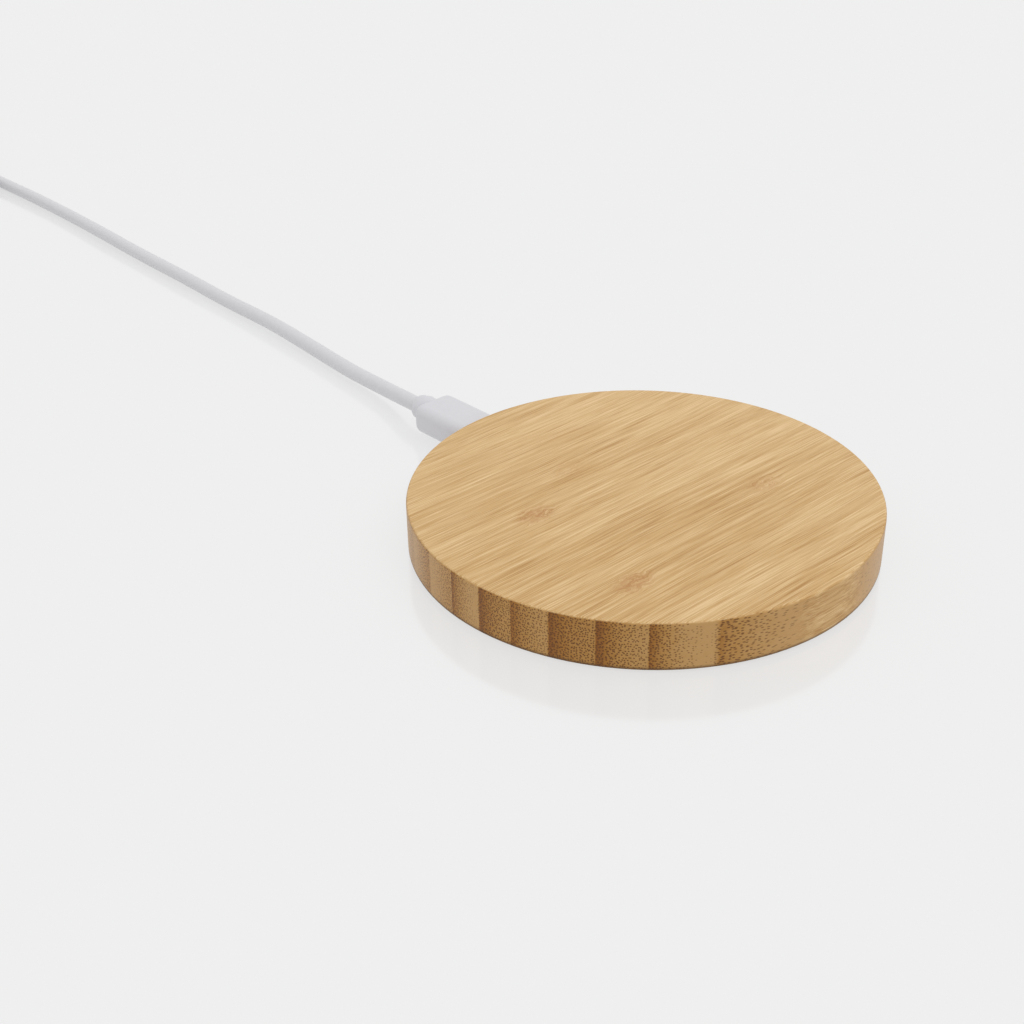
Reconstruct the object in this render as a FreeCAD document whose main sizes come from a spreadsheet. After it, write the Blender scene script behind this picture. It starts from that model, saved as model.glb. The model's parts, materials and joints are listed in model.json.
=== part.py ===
"""Round bamboo wireless charging pad with its removable USB cord, in millimetres.

Frame: origin on the floor under the middle of the pad, +Z up, +Y towards the USB port,
bamboo grain along X. Every piece is its own solid, written to parts/NAME.step.
"""
import FreeCAD, Part
import math
import os
import re
import Sketcher

V = FreeCAD.Vector
Z_AXIS = V(0, 0, 1)
PIPE_TOLERANCE = 0.01

# ---------------------------------------------------------------- driving dimensions
SIZES = {
    # wooden body
    "pad_diameter": 90.0,
    "pad_top": 10.0,
    "wood_bottom": 0.5,
    "top_round": 0.5,
    "bottom_round": 0.4,
    "cavity_diameter": 82.0,
    "cavity_top": 8.4,
    "seat_diameter": 84.0,
    # base cover and foot
    "cover_diameter": 83.6,
    "cover_top": 2.0,
    "groove_outer": 79.0,
    "groove_inner": 68.0,
    "groove_top": 1.1,
    "foot_outer": 78.6,
    "foot_inner": 68.4,
    "foot_top": 1.0,
    "foot_round": 0.25,
    "screw_circle": 73.5,
    "screw_head_diameter": 3.6,
    "screw_head_top": 1.6,
    "screw_diameter": 1.8,
    "screw_clearance": 2.2,
    "screw_tip": 4.9,
    "slot_width": 0.45,
    "slot_depth": 0.25,
    "standoff_diameter": 4.0,
    "standoff_x": 14.0,
    "standoff_rear_y": -2.0,
    "standoff_front_y": 31.0,
    # charging stack under the wooden top
    "tape_bottom": 8.2,
    "tape_diameter": 47.0,
    "wire_diameter": 1.1,
    "coil_pitch": 1.15,
    "coil_inner_radius": 10.6,
    "coil_turns": 10,
    "ferrite_diameter": 48.0,
    "ferrite_top": 7.1,
    "ferrite_bottom": 6.3,
    "carrier_top": 6.15,
    "carrier_bottom": 5.25,
    "carrier_diameter": 80.6,
    "carrier_rim_inner": 77.6,
    "boss_diameter": 5.0,
    "carrier_notch": 13.0,
    "carrier_notch_y": 33.0,
    "lead_hole": 2.0,
    "lead_bend": 1.1,
    "thermistor_hole": 4.0,
    "thermistor_diameter": 2.4,
    "thermistor_leg_diameter": 0.4,
    "thermistor_leg_x": 0.6,
    # circuit board
    "board_bottom": 2.6,
    "board_top": 3.6,
    "board_half_width": 17.0,
    "board_rear": -6.0,
    "board_front": 34.0,
    "tab_half_width": 10.0,
    "tab_front": 39.5,
    "notch_half_width": 4.7,
    "notch_rear": 36.6,
    "board_screw_diameter": 1.4,
    "board_screw_head": 2.6,
    "board_screw_head_top": 4.3,
    "board_screw_tip": 1.2,
    "thermal_pad_half_width": 6.0,
    "thermal_pad_rear": 11.0,
    "thermal_pad_front": 23.0,
    # USB port and plug, all on one axis along Y
    "axis_height": 4.6,
    "port_width": 9.6,
    "port_height": 3.8,
    "jack_width": 8.94,
    "jack_height": 3.16,
    "jack_wall": 0.3,
    "jack_rear": 36.9,
    "jack_front": 44.25,
    "jack_tab_inner": 4.0,
    "jack_tab_outer": 5.6,
    "jack_tab_rear": 37.1,
    "jack_tab_pitch": 1.3,
    "jack_tab_length": 0.8,
    "jack_tab_thickness": 0.25,
    "tongue_width": 6.69,
    "tongue_thickness": 0.6,
    "tongue_root": 38.3,
    "tongue_tip": 43.3,
    "contact_width": 0.25,
    "contact_pitch": 0.5,
    "contact_thickness": 0.05,
    "plug_contact_thickness": 0.12,
    "pipe_x": -8.2,
    "pipe_height": 3.8,
    "pipe_diameter": 2.0,
    "pipe_hole": 2.2,
    "pipe_rear": 39.7,
    "pipe_front": 43.9,
    "plug_width": 8.25,
    "plug_height": 2.4,
    "plug_wall": 0.2,
    "plug_tip": 38.65,
    "slot_opening_width": 6.9,
    "slot_opening_height": 1.2,
    "slot_end": 43.9,
    "grip_front": 45.3,
    "grip_rear": 63.2,
    "grip_width": 10.4,
    "grip_height": 6.5,
    "grip_corner": 1.7,
    "grip_shoulder": 1.5,
    "collar_rear": 67.2,
    "collar_diameter": 6.0,
    "collar_step": 65.1,
    "collar_end_diameter": 5.2,
    # cord, its stored coil and the plug at its far end
    "cord_diameter": 3.5,
    "coil_x": -15.7,
    "coil_y": 314.0,
    "coil_low": 0.4,
    "coil_layers": 2,
    "coil_outer_turn": 27.6,
    "coil_inner_turn": 13.6,
    "tie_width": 6.0,
    "tie_thickness": 0.4,
    "far_x": -37.2,
    "far_height": 4.0,
    "relief_rear": 284.5,
    "relief_front": 277.5,
    "relief_end_diameter": 4.6,
    "relief_diameter": 6.2,
    "far_grip_front": 250.5,
    "far_grip_width": 15.6,
    "far_grip_height": 8.0,
    "far_grip_corner": 1.8,
    "far_shell_tip": 238.3,
    "far_shell_width": 12.0,
    "far_shell_height": 4.5,
    "far_shell_wall": 0.3,
    "far_contact_width": 1.0,
    "far_contact_inset": 1.6,
    "far_contact_end": 2.0,
    "far_contact_thickness": 0.15,
    "far_insulator_inset": 0.4,
}

# USB 2.0 positions of a twelve-place contact row, counted from 0
CONTACT_PLACES = (0, 3, 4, 5, 6, 8, 11)
MIDDLE_PLACE = 5.5
FAR_CONTACT_PLACES = (-3.5, -1.0, 1.0, 3.5)
SCREW_COUNT = 4
# how far along X and along Y a base screw stands from the centre, as they stand on the diagonals
SCREW_REACH = "screw_circle * sqrt(2) / 4"

# the parts on the board: places of their centres, then size along X, along Y and above the board
COMPONENTS = {
    "controller_chip": (((4.0, 17.0),), (5.0, 5.0, 0.9)),
    "bridge_transistors": (((-4.0, 15.0), (-4.0, 19.5)), (3.3, 3.3, 0.9)),
    "resonance_capacitors": (((-12.0, 4.0), (-12.0, 8.0), (-12.0, 12.0), (-12.0, 16.0)), (3.2, 2.5, 1.3)),
    "input_capacitors": (((12.0, 20.0), (12.0, 24.0)), (3.2, 1.6, 1.3)),
    "chip_resistors": (((8.0, 6.0), (8.0, 8.0), (8.0, 10.0), (12.0, 6.0), (12.0, 8.0), (12.0, 10.0)),
                       (1.0, 0.5, 0.35)),
    "power_inductor": (((-11.0, 23.5),), (4.0, 4.0, 1.4)),
    "status_led": (((-8.2, 38.8),), (3.0, 1.2, 1.5)),
}

# the cord from the plug's collar to the stored coil, lying on the floor
CORD_ROUTE = [
    (0.0, 67.2, 4.6),
    (0.0, 71.8, 4.6),
    (1.2, 77.5, 3.7),
    (2.3, 83.5, 2.9),
    (2.9, 90.0, 2.5),
    (3.4, 98.0, 2.3),
    (5.4, 117.0, 2.2),
    (6.9, 135.0, 2.3),
    (7.6, 156.0, 1.8),
    (8.4, 178.0, 2.2),
    (9.5, 204.0, 1.9),
    (10.7, 229.0, 2.2),
    (12.3, 256.0, 1.8),
    (12.5, 276.5, 1.9),
    (12.3, 297.0, 1.9),
    (11.9, 314.6, 2.15),
]

# the cord from the coil's top layer down to the plug at its far end
TAIL_ROUTE = [
    (-43.3, 314.0, 5.65),
    (-43.2, 308.0, 5.4),
    (-41.8, 302.0, 4.9),
    (-39.0, 296.2, 4.3),
    (-37.2, 290.0, 4.0),
    (-37.2, 284.5, 4.0),
]

doc = FreeCAD.newDocument("charging_pad")
sheet = doc.addObject("Spreadsheet::Sheet", "sizes")
for row, (alias, number) in enumerate(SIZES.items(), start=1):
    sheet.set(f"A{row}", alias)
    sheet.set(f"B{row}", str(number))
    sheet.setAlias(f"B{row}", alias)
doc.recompute()

nodes = []


def size(alias):
    """A driving dimension as a number."""
    return float(getattr(sheet, alias))


def bind(item, prop, text):
    """Ties a property to the sheet; each word of the text is an alias."""
    item.setExpression(prop, re.sub(r"[a-z_]+\b(?!\()", lambda word: "sizes." + word.group(0), text))


def place(item, x="0", y="0", z="0"):
    """Ties an object's position to the sheet."""
    for letter, text in zip("xyz", (x, y, z)):
        bind(item, f"Placement.Base.{letter}", text)


def keep(item, name):
    """Makes an object a piece of its own."""
    item.Label = name
    nodes.append(item)
    return item


# ---------------------------------------------------------------- Part primitives
def box(name, low, high):
    """A block between two corners, each given as three texts."""
    item = doc.addObject("Part::Box", name)
    for prop, near, far in zip(("Length", "Width", "Height"), low, high):
        bind(item, prop, f"({far}) - ({near})")
    place(item, *low)
    return item


def rod(name, radius, low, high, x="0", y="0", along="z"):
    """A cylinder along Z or Y, between two places on its axis; x, y locate the axis."""
    item = doc.addObject("Part::Cylinder", name)
    bind(item, "Radius", radius)
    bind(item, "Height", f"({high}) - ({low})")
    if along == "y":
        item.Placement = FreeCAD.Placement(V(), FreeCAD.Rotation(V(1, 0, 0), -90))
        place(item, x, low, y)
    else:
        place(item, x, y, low)
    return item


def cut(name, base, tool):
    item = doc.addObject("Part::Cut", name)
    item.Base = base
    item.Tool = tool
    return item


def fuse(name, shapes):
    item = doc.addObject("Part::MultiFuse", name)
    item.Shapes = shapes
    return item


def group(name, shapes):
    """Separate identical solids that share one node."""
    item = doc.addObject("Part::Compound", name)
    item.Links = shapes
    return item


# ---------------------------------------------------------------- PartDesign pieces
def new_body(name):
    return keep(doc.addObject("PartDesign::Body", name), name)


def sketch_on(body, name, role, offset="0"):
    """A sketch on one of the body's own origin planes, moved along the plane's normal."""
    sketch = body.newObject("Sketcher::SketchObject", name)
    plane = next(item for item in body.Origin.OriginFeatures if item.Role == role)
    sketch.AttachmentSupport = [(plane, "")]
    sketch.MapMode = "FlatFace"
    bind(sketch, "AttachmentOffset.Base.z", offset)
    return sketch


def measure(sketch, label, kind, *places, text):
    """Adds a named dimension and ties it to the sheet."""
    number = sketch.addConstraint(Sketcher.Constraint(kind, *places, 1.0))
    sketch.renameConstraint(number, label)
    bind(sketch, f"Constraints.{label}", text)


def circle(sketch, label, diameter, x=None, y=None):
    """A circle at the sketch's origin, or at two signed sheet distances from it."""
    first = sketch.addGeometry(Part.Circle(V(), Z_AXIS, 1.0), False)
    sketch.addConstraint(Sketcher.Constraint("Diameter", first, 2.0))
    sketch.renameConstraint(sketch.ConstraintCount - 1, label)
    bind(sketch, f"Constraints.{label}", diameter)
    if x is None:
        sketch.addConstraint(Sketcher.Constraint("Coincident", first, 3, -1, 1))
    else:
        measure(sketch, label + "_x", "DistanceX", -1, 1, first, 3, text=x)
        measure(sketch, label + "_y", "DistanceY", -1, 1, first, 3, text=y)


def stadium(sketch, width, height, middle):
    """Two flats joined by half circles, centred at a height above the sketch's origin."""
    flat = 2.0
    end = 1.0
    top = sketch.addGeometry(Part.LineSegment(V(-flat, end, 0), V(flat, end, 0)), False)
    low = sketch.addGeometry(Part.LineSegment(V(flat, -end, 0), V(-flat, -end, 0)), False)
    right = sketch.addGeometry(
        Part.ArcOfCircle(Part.Circle(V(flat, 0, 0), Z_AXIS, end), -math.pi / 2, math.pi / 2), False)
    left = sketch.addGeometry(
        Part.ArcOfCircle(Part.Circle(V(-flat, 0, 0), Z_AXIS, end), math.pi / 2, 3 * math.pi / 2), False)
    for line, line_end, arc, arc_end in (
            (top, 2, right, 2), (low, 1, right, 1), (low, 2, left, 2), (top, 1, left, 1)):
        sketch.addConstraint(Sketcher.Constraint("Tangent", line, line_end, arc, arc_end))
    sketch.addConstraint(Sketcher.Constraint("Horizontal", top))
    sketch.addConstraint(Sketcher.Constraint("Equal", right, left))
    measure(sketch, "round", "Radius", right, text=f"({height}) / 2")
    measure(sketch, "flat", "DistanceX", top, 1, top, 2, text=f"({width}) - ({height})")
    measure(sketch, "middle", "DistanceY", -1, 1, right, 3, text=middle)
    measure(sketch, "half", "DistanceX", -1, 1, right, 3, text=f"(({width}) - ({height})) / 2")


def rectangle(sketch, left, right, low, high):
    """An upright rectangle between four signed sheet distances."""
    corners = [V(-1, -1, 0), V(1, -1, 0), V(1, 1, 0), V(-1, 1, 0)]
    lines = [sketch.addGeometry(Part.LineSegment(corners[i], corners[(i + 1) % 4]), False)
             for i in range(4)]
    for i, line in enumerate(lines):
        sketch.addConstraint(Sketcher.Constraint("Coincident", line, 2, lines[(i + 1) % 4], 1))
        sketch.addConstraint(Sketcher.Constraint("Horizontal" if i % 2 == 0 else "Vertical", line))
    tag = f"g{lines[0]}"
    measure(sketch, tag + "_left", "DistanceX", -1, 1, lines[0], 1, text=left)
    measure(sketch, tag + "_right", "DistanceX", -1, 1, lines[1], 1, text=right)
    measure(sketch, tag + "_low", "DistanceY", -1, 1, lines[0], 1, text=low)
    measure(sketch, tag + "_high", "DistanceY", -1, 1, lines[2], 1, text=high)


def pad(body, sketch, length, backwards=False):
    feature = body.newObject("PartDesign::Pad", sketch.Name + "_pad")
    feature.Profile = sketch
    bind(feature, "Length", length)
    feature.Reversed = backwards
    return feature


def pocket(body, sketch, length, forwards=False):
    """Cuts against the sketch's normal, or along it, and insists that something went."""
    doc.recompute()
    before = body.Shape.Volume
    feature = body.newObject("PartDesign::Pocket", sketch.Name + "_pocket")
    feature.Profile = sketch
    bind(feature, "Length", length)
    feature.Reversed = forwards
    doc.recompute()
    if not body.Shape.Volume < before - 1e-6:
        raise RuntimeError(f"{feature.Name} cuts nothing")
    return feature


def around(body, feature, count):
    """Repeats a feature about the body's own Z axis."""
    pattern = body.newObject("PartDesign::PolarPattern", feature.Name + "_ring")
    pattern.Originals = [feature]
    axis = next(item for item in body.Origin.OriginFeatures if item.Role == "Z_Axis")
    pattern.Axis = (axis, [""])
    pattern.Angle = 360
    pattern.Occurrences = count
    body.Tip = pattern
    return pattern


def edges_where(body, test):
    """Names of the body's edges whose shape passes a test."""
    doc.recompute()
    return [f"Edge{i}" for i, edge in enumerate(body.Shape.Edges, start=1) if test(edge)]


def fillet(body, name, radius, test):
    names = edges_where(body, test)
    if not names:
        raise RuntimeError(f"{name} finds no edge")
    base = body.Tip
    feature = body.newObject("PartDesign::Fillet", name)
    feature.Base = (base, names)
    bind(feature, "Radius", radius)
    return feature


def disc(name, outer, low, high, inner=None):
    """A flat disc or ring about the Z axis."""
    body = new_body(name)
    outline = sketch_on(body, name + "_outline", "XY_Plane", low)
    circle(outline, "outer", outer)
    if inner:
        circle(outline, "inner", inner)
    pad(body, outline, f"({high}) - ({low})")
    return body


def is_ring(edge, radius, height):
    """True for a whole circle about the Z axis with this radius, at this height."""
    curve = edge.Curve
    return (isinstance(curve, Part.Circle) and abs(curve.Radius - radius) < 1e-4
            and abs(curve.Center.z - height) < 1e-4)


# ---------------------------------------------------------------- routed wires and cords
def rounded_wire(points, label):
    """Straight runs joined by the largest tangent arcs that they allow."""
    points = [V(*point) for point in points]
    share = 0.45
    edges = []
    radii = []
    last = points[0]
    for before, corner, after in zip(points, points[1:], points[2:]):
        run_in = corner - before
        run_out = after - corner
        turn = run_in.getAngle(run_out)
        reach = share * min(run_in.Length, run_out.Length)
        radius = reach / math.tan(turn / 2)
        run_in.normalize()
        run_out.normalize()
        start = corner - run_in * reach
        end = corner + run_out * reach
        inward = run_out - run_in
        inward.normalize()
        centre = corner + inward * (radius / math.cos(turn / 2))
        middle = centre - inward * radius
        edges.append(Part.LineSegment(last, start).toShape())
        edges.append(Part.Arc(start, middle, end).toShape())
        radii.append(radius)
        last = end
    edges.append(Part.LineSegment(last, points[-1]).toShape())
    wire = Part.Wire(edges)
    print(f"{label}: length {wire.Length:.1f}, radii", " ".join(f"{r:.0f}" for r in radii))
    return wire


def tube(wire, diameter, label):
    """A round solid along a wire, with its volume checked against section times length."""
    start = wire.Edges[0]
    heading = start.tangentAt(start.FirstParameter)
    section = Part.Wire(Part.Circle(start.valueAt(start.FirstParameter), heading, diameter / 2).toShape())
    solid = wire.makePipeShell([section], True, False)
    expected = math.pi * diameter ** 2 / 4 * wire.Length
    if abs(solid.Volume / expected - 1) > PIPE_TOLERANCE:
        raise RuntimeError(f"{label}: volume {solid.Volume:.2f}, expected {expected:.2f}")
    return solid


def plain(name, shape):
    """A piece whose shape comes straight from Part's functions."""
    item = doc.addObject("Part::Feature", name)
    item.Shape = shape
    return keep(item, name)


# ---------------------------------------------------------------- wooden body
def make_bamboo_body():
    body = new_body("bamboo_body")
    outline = sketch_on(body, "wood_outline", "XY_Plane", "wood_bottom")
    circle(outline, "outer", "pad_diameter")
    pad(body, outline, "pad_top - wood_bottom")
    seat = sketch_on(body, "cover_seat", "XY_Plane", "wood_bottom")
    circle(seat, "outer", "seat_diameter")
    pocket(body, seat, "cover_top - wood_bottom", forwards=True)
    cavity = sketch_on(body, "cavity", "XY_Plane", "wood_bottom")
    circle(cavity, "outer", "cavity_diameter")
    pocket(body, cavity, "cavity_top - wood_bottom", forwards=True)
    port = sketch_on(body, "port", "XZ_Plane")
    stadium(port, "port_width", "port_height", "axis_height")
    pocket(body, port, "pad_diameter / 2 + 1")
    pipe_hole = sketch_on(body, "pipe_hole_outline", "XZ_Plane")
    circle(pipe_hole, "hole", "pipe_hole", "pipe_x", "pipe_height")
    pocket(body, pipe_hole, "pad_diameter / 2 + 1")
    rim = size("pad_diameter") / 2
    fillet(body, "top_edge", "top_round", lambda edge: is_ring(edge, rim, size("pad_top")))
    fillet(body, "bottom_edge", "bottom_round", lambda edge: is_ring(edge, rim, size("wood_bottom")))


# ---------------------------------------------------------------- base cover, foot and screws
def make_base_cover():
    body = disc("base_cover", "cover_diameter", "wood_bottom", "cover_top")
    groove = sketch_on(body, "foot_groove", "XY_Plane", "wood_bottom")
    circle(groove, "outer", "groove_outer")
    circle(groove, "inner", "groove_inner")
    pocket(body, groove, "groove_top - wood_bottom", forwards=True)
    for name, diameter, top in (("head_recess", "screw_head_diameter + 0.4", "screw_head_top"),
                                ("screw_hole", "screw_clearance", "cover_top")):
        hole = sketch_on(body, name, "XY_Plane", "groove_top")
        circle(hole, "hole", diameter, SCREW_REACH, SCREW_REACH)
        around(body, pocket(body, hole, f"{top} - groove_top", forwards=True), SCREW_COUNT)
    standoffs = sketch_on(body, "standoffs", "XY_Plane", "cover_top")
    drilled = sketch_on(body, "board_screw_holes", "XY_Plane", "board_bottom")
    for side in "-+":
        for where in ("rear", "front"):
            tag = where + ("_left" if side == "-" else "_right")
            spot = (f"0 {side} standoff_x", f"standoff_{where}_y")
            circle(standoffs, tag, "standoff_diameter", *spot)
            circle(drilled, tag, "board_screw_diameter", *spot)
    pad(body, standoffs, "board_bottom - cover_top")
    pocket(body, drilled, "board_bottom - board_screw_tip")


def make_foot():
    body = disc("foot_ring", "foot_outer", "0", "foot_top", "foot_inner")
    radii = (size("foot_outer") / 2, size("foot_inner") / 2)
    fillet(body, "foot_edges", "foot_round",
           lambda edge: any(is_ring(edge, radius, 0.0) for radius in radii))
    disc("foot_adhesive", "foot_outer - 0.6", "foot_top", "groove_top", "foot_inner + 0.6")


def screw(name, x, y, head, head_low, head_high, shank, tip, slot_up):
    """A cross-slotted screw along Z; slot_up says which end of the head is slotted."""
    shaft_low, shaft_high = ((tip, head_low) if slot_up else (head_high, tip))
    head_part = rod(name + "_head", f"({head}) / 2", head_low, head_high, x, y)
    shaft = rod(name + "_shank", f"({shank}) / 2", shaft_low, shaft_high, x, y)
    slot_low, slot_high = ((f"{head_high} - slot_depth", head_high) if slot_up
                           else (head_low, f"{head_low} + slot_depth"))
    arm = f"({head}) * 0.34"
    slots = [box(f"{name}_slot_{i}", (f"{x} - {reach[0]}", f"{y} - {reach[1]}", slot_low),
                 (f"{x} + {reach[0]}", f"{y} + {reach[1]}", slot_high))
             for i, reach in enumerate(((arm, "slot_width / 2"), ("slot_width / 2", arm)))]
    return cut(name, fuse(name + "_solid", [head_part, shaft]), fuse(name + "_cross", slots))


def make_screws():
    spots = [(f"0 {a} {SCREW_REACH}", f"0 {b} {SCREW_REACH}") for a in "+-" for b in "+-"]
    keep(group("base_screws", [
        screw(f"base_screw_{i}", x, y, "screw_head_diameter", "groove_top", "screw_head_top",
              "screw_diameter", "screw_tip", False) for i, (x, y) in enumerate(spots)]), "base_screws")
    spots = [(f"0 {a} standoff_x", f"standoff_{where}_y") for a in "+-" for where in ("rear", "front")]
    keep(group("board_screws", [
        screw(f"board_screw_{i}", x, y, "board_screw_head", "board_top", "board_screw_head_top",
              "board_screw_diameter", "board_screw_tip", True) for i, (x, y) in enumerate(spots)]),
        "board_screws")


# ---------------------------------------------------------------- charging stack
def lead_spots():
    """Where the coil's inner and outer ends pass down to the board."""
    outer = "(coil_inner_radius + coil_turns * coil_pitch)"
    return (("lead_bend", "coil_inner_radius"), ("0 - lead_bend", outer))


def pierce_for_leads(body, name, low, high):
    """Holes for the two coil ends and, in the middle, for the temperature sensor."""
    holes = sketch_on(body, name, "XY_Plane", low)
    circle(holes, "sensor", "thermistor_hole")
    for label, (x, y) in zip(("inner_end", "outer_end"), lead_spots()):
        circle(holes, label, "lead_hole", x, y)
    pocket(body, holes, f"{high} - {low}", forwards=True)


def make_carrier():
    body = disc("coil_carrier", "carrier_diameter", "carrier_bottom", "carrier_top")
    rim = sketch_on(body, "carrier_rim", "XY_Plane", "carrier_top")
    circle(rim, "outer", "carrier_diameter")
    circle(rim, "inner", "carrier_rim_inner")
    pad(body, rim, "tape_bottom - carrier_top")
    boss = sketch_on(body, "carrier_boss", "XY_Plane", "cover_top")
    circle(boss, "outer", "boss_diameter", SCREW_REACH, SCREW_REACH)
    around(body, pad(body, boss, "carrier_bottom - cover_top"), SCREW_COUNT)
    pilot = sketch_on(body, "boss_pilot", "XY_Plane", "cover_top")
    circle(pilot, "hole", "screw_diameter", SCREW_REACH, SCREW_REACH)
    around(body, pocket(body, pilot, "screw_tip - cover_top", forwards=True), SCREW_COUNT)
    notch = sketch_on(body, "port_notch", "XY_Plane", "carrier_bottom")
    rectangle(notch, "0 - carrier_notch / 2", "carrier_notch / 2", "carrier_notch_y", "pad_diameter / 2")
    pocket(body, notch, "tape_bottom - carrier_bottom", forwards=True)
    pierce_for_leads(body, "carrier_holes", "carrier_bottom", "carrier_top")
    disc("carrier_adhesive", "carrier_diameter", "tape_bottom", "cavity_top", "carrier_rim_inner")


def make_ferrite():
    body = disc("ferrite_tape", "ferrite_diameter", "carrier_top", "ferrite_bottom")
    pierce_for_leads(body, "tape_holes", "carrier_top", "ferrite_bottom")
    body = disc("ferrite_shield", "ferrite_diameter", "ferrite_bottom", "ferrite_top")
    pierce_for_leads(body, "ferrite_holes", "ferrite_bottom", "ferrite_top")
    disc("coil_tape", "tape_diameter", "tape_bottom", "cavity_top")


def make_transmit_coil():
    """A flat spiral of stranded wire: half circles about two centres half a pitch apart."""
    step = size("coil_pitch") / 2
    inner = size("coil_inner_radius")
    level = size("ferrite_top") + size("wire_diameter") / 2
    edges = []
    for half in range(2 * int(size("coil_turns"))):
        radius = inner + half * step
        left_half = half % 2 == 0
        middle = V(0, 0 if left_half else step, level)
        side = -radius if left_half else radius
        ends = (V(0, radius, 0), V(0, -radius, 0)) if left_half else (V(0, -radius, 0), V(0, radius, 0))
        edges.append(Part.Arc(middle + ends[0], middle + V(side, 0, 0), middle + ends[1]).toShape())
    plain("transmit_coil", tube(Part.Wire(edges), size("wire_diameter"), "transmit coil"))
    bend = size("lead_bend")
    outer = inner + 2 * int(size("coil_turns")) * step
    diagonal = bend * math.sqrt(0.5)
    leads = []
    for y, side in ((inner, 1), (outer, -1)):
        start = V(0, y, level)
        middle = V(side * diagonal, y, level - bend + diagonal)
        turn_end = V(side * bend, y, level - bend)
        drop = V(side * bend, y, size("board_top"))
        wire = Part.Wire([Part.Arc(start, middle, turn_end).toShape(),
                          Part.LineSegment(turn_end, drop).toShape()])
        leads.append(tube(wire, size("wire_diameter"), "coil lead"))
    plain("coil_leads", Part.makeCompound(leads))


def make_thermistor():
    bead = rod("sensor_bead", "thermistor_diameter / 2", "ferrite_top", "tape_bottom")
    legs = [rod(f"sensor_leg_{side}", "thermistor_leg_diameter / 2", "board_top",
                "ferrite_top + thermistor_leg_diameter / 2", x)
            for side, x in (("right", "thermistor_leg_x"), ("left", "0 - thermistor_leg_x"))]
    keep(fuse("coil_thermistor", [bead] + legs), "coil_thermistor")


# ---------------------------------------------------------------- circuit board
def make_board():
    body = new_body("circuit_board")
    thickness = "board_top - board_bottom"
    main = sketch_on(body, "board_outline", "XY_Plane", "board_bottom")
    rectangle(main, "0 - board_half_width", "board_half_width", "board_rear", "board_front")
    pad(body, main, thickness)
    tab = sketch_on(body, "board_tab", "XY_Plane", "board_bottom")
    rectangle(tab, "0 - tab_half_width", "tab_half_width", "board_front - 1", "tab_front")
    pad(body, tab, thickness)
    notch = sketch_on(body, "jack_notch", "XY_Plane", "board_bottom")
    rectangle(notch, "0 - notch_half_width", "notch_half_width", "notch_rear", "tab_front + 1")
    pocket(body, notch, thickness, forwards=True)
    holes = sketch_on(body, "board_holes", "XY_Plane", "board_bottom")
    for tag, x in (("left", "0 - standoff_x"), ("right", "standoff_x")):
        for where in ("rear", "front"):
            circle(holes, f"{where}_{tag}", "board_screw_diameter + 0.2", x, f"standoff_{where}_y")
    pocket(body, holes, thickness, forwards=True)


def chip(name, x, y, wide, deep, tall):
    """A component standing on the board, centred at x, y."""
    return box(name, (f"{x} - {wide} / 2", f"{y} - {deep} / 2", "board_top"),
               (f"{x} + {wide} / 2", f"{y} + {deep} / 2", f"board_top + {tall}"))


def make_components():
    """One node for each kind of component, then the pad that carries the chips' heat to the cover."""
    for name, (spots, extent) in COMPONENTS.items():
        made = [chip(f"{name}_{i}", x, y, *extent) for i, (x, y) in enumerate(spots)]
        keep(group(name, made), name)
    keep(box("thermal_pad", ("0 - thermal_pad_half_width", "thermal_pad_rear", "cover_top"),
             ("thermal_pad_half_width", "thermal_pad_front", "board_bottom")), "thermal_pad")


def make_light_pipe():
    keep(rod("light_pipe", "pipe_diameter / 2", "pipe_rear", "pipe_front", "pipe_x", "pipe_height", "y"),
         "light_pipe")


# ---------------------------------------------------------------- USB port and plug
def along_axis(body, name, width, height, rear, front, middle="axis_height"):
    """A stadium section on the plug's axis, padded from rear to front along +Y."""
    outline = sketch_on(body, name, "XZ_Plane", f"0 - ({front})")
    stadium(outline, width, height, middle)
    return pad(body, outline, f"({front}) - ({rear})")


def hollow(body, name, width, height, rear, front, middle="axis_height"):
    """Removes a stadium section between two places on the axis."""
    outline = sketch_on(body, name, "XZ_Plane", f"0 - ({rear})")
    stadium(outline, width, height, middle)
    return pocket(body, outline, f"({front}) - ({rear})")


def contact_row(name, rear, front, low, high):
    """Contact strips above and below the axis, at the fitted places of the row."""
    strips = []
    for place_number in CONTACT_PLACES:
        x = f"{place_number - MIDDLE_PLACE} * contact_pitch"
        for side, (near, far) in (("top", (f"axis_height + {low}", f"axis_height + {high}")),
                                  ("low", (f"axis_height - {high}", f"axis_height - {low}"))):
            strips.append(box(f"{name}_{side}_{place_number}",
                              (f"{x} - contact_width / 2", rear, near),
                              (f"{x} + contact_width / 2", front, far)))
    keep(group(name, strips), name)


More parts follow.
